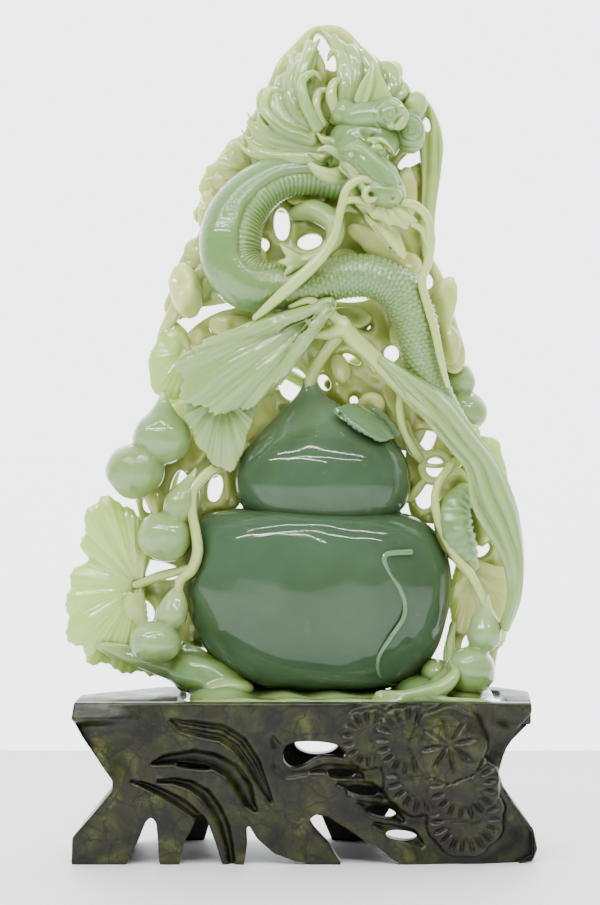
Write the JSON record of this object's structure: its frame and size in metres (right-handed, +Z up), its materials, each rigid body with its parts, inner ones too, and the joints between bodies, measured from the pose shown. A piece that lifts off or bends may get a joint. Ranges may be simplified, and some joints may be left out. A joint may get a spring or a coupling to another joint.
{
  "type": "jade figurine",
  "caption": "Tall openwork stone carving of a double gourd under a coiled dragon, with vine leaves and small gourds, on a pierced stone stand.",
  "frame": {"origin": "bottom centre of the whole object, on the surface that the stand rests on", "axes": "+Z up, front towards -Y, +X to the right as seen from the front"},
  "size_m": [0.2426, 0.118, 0.4302],
  "materials": {
    "jade_deep": "polished, deep blue-green, slightly translucent",
    "jade_mid": "polished, sage green, translucent at thin edges",
    "jade_pale": "polished, pale mint green, translucent",
    "jade_ground": "polished, pale yellow-green, translucent",
    "jade_rock": "polished, grey-green, slightly translucent",
    "stand_serpentine": "polished, mottled dark olive green with black and brown veins"
  },
  "bodies": {
    "stand": {"stand_back_apron": "stand_serpentine", "stand_front_apron": "stand_serpentine", "stand_left_end": "stand_serpentine", "stand_orchid_blades": "stand_serpentine", "stand_pine_clusters": "stand_serpentine", "stand_right_end": "stand_serpentine", "stand_top_slab": "stand_serpentine"},
    "carving": {"dragon_beard": "jade_mid", "dragon_body_loop": "jade_mid", "dragon_brow_scroll": "jade_mid", "dragon_crest": "jade_mid", "dragon_eyes": "jade_mid", "dragon_foreleg": "jade_mid", "dragon_head": "jade_mid", "dragon_horns": "jade_mid", "dragon_lower_jaw": "jade_mid", "dragon_mane_left": "jade_mid", "dragon_mane_right": "jade_mid", "dragon_tail_end": "jade_mid", "dragon_whisker_left": "jade_mid", "dragon_whisker_right": "jade_mid", "gourd_lower_bulb": "jade_deep", "gourd_small_leaf": "jade_deep", "gourd_stem": "jade_pale", "gourd_tendril": "jade_deep", "gourd_upper_bulb": "jade_deep", "ground_left": "jade_ground", "ground_middle": "jade_ground", "ground_right": "jade_ground", "ground_top": "jade_ground", "leaf_back_left": "jade_pale", "leaf_back_right": "jade_pale", "leaf_back_top": "jade_pale", "leaf_front_left": "jade_pale", "leaf_hanging_left": "jade_pale", "leaf_left_edge": "jade_pale", "leaf_left_fan": "jade_pale", "leaf_left_high": "jade_pale", "leaf_left_side": "jade_pale", "leaf_right_large": "jade_pale", "leaf_right_low": "jade_pale", "leaf_right_upper": "jade_pale", "rock_base": "jade_rock", "rock_wave_left": "jade_rock", "rock_wave_right": "jade_rock", "small_gourd_left_low": "jade_pale", "small_gourd_left_middle": "jade_pale", "small_gourd_left_top": "jade_pale", "small_gourd_right_low": "jade_pale", "small_gourd_right_top": "jade_pale", "vine_back_left": "jade_pale", "vine_back_right": "jade_pale", "vine_back_top": "jade_pale", "vine_inner": "jade_pale", "vine_left": "jade_pale", "vine_main": "jade_pale", "vine_right": "jade_pale", "vine_ring": "jade_pale"}
  },
  "joints": [
    {"name": "carving_lift", "type": "slide", "parent": "stand", "child": "carving", "axis": [0, 0, 1], "range_m": [0, 0.06]}
  ]
}
